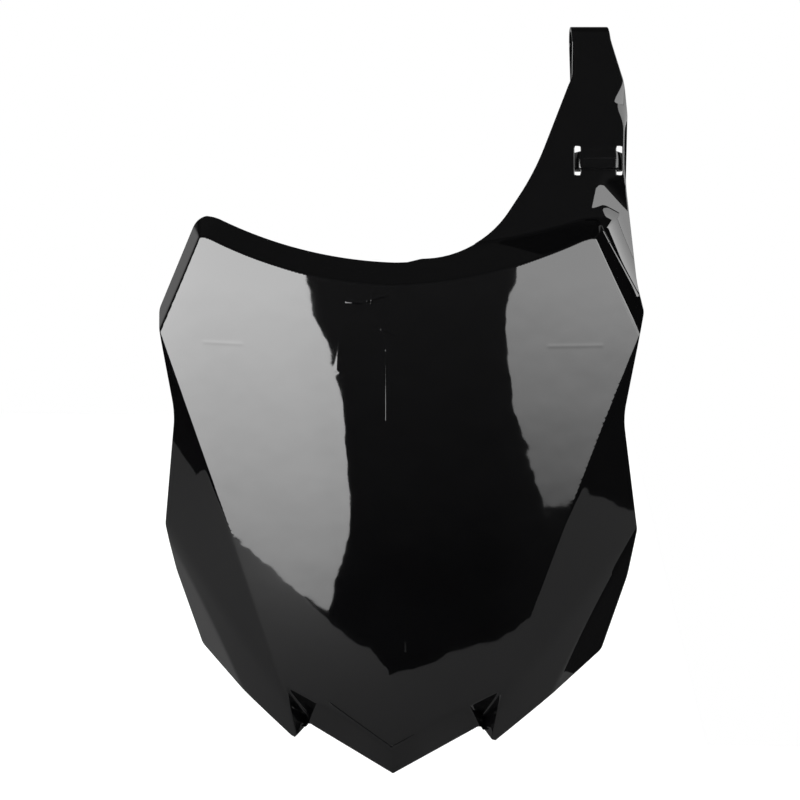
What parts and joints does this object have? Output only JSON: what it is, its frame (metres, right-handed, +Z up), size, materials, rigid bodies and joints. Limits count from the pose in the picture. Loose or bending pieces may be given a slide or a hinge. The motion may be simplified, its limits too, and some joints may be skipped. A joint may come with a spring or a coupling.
{
  "type": "motocross number plate",
  "caption": "Front number board for an off-road motorcycle: one curved, ridged plastic plate with flared top and sides, notched lower edge and an arm with strap slots and a hooked tip",
  "frame": {"origin": "middle of the bolt hole in the rear lug", "axes": "+X to the viewer's right when the front is seen, +Y to the back of the plate, +Z up"},
  "size_m": [0.2502, 0.0813, 0.3777],
  "materials": {
    "black_plastic": "high-gloss black moulded polypropylene"
  },
  "bodies": {
    "root": {"number_plate": "black_plastic"}
  },
  "joints": []
}
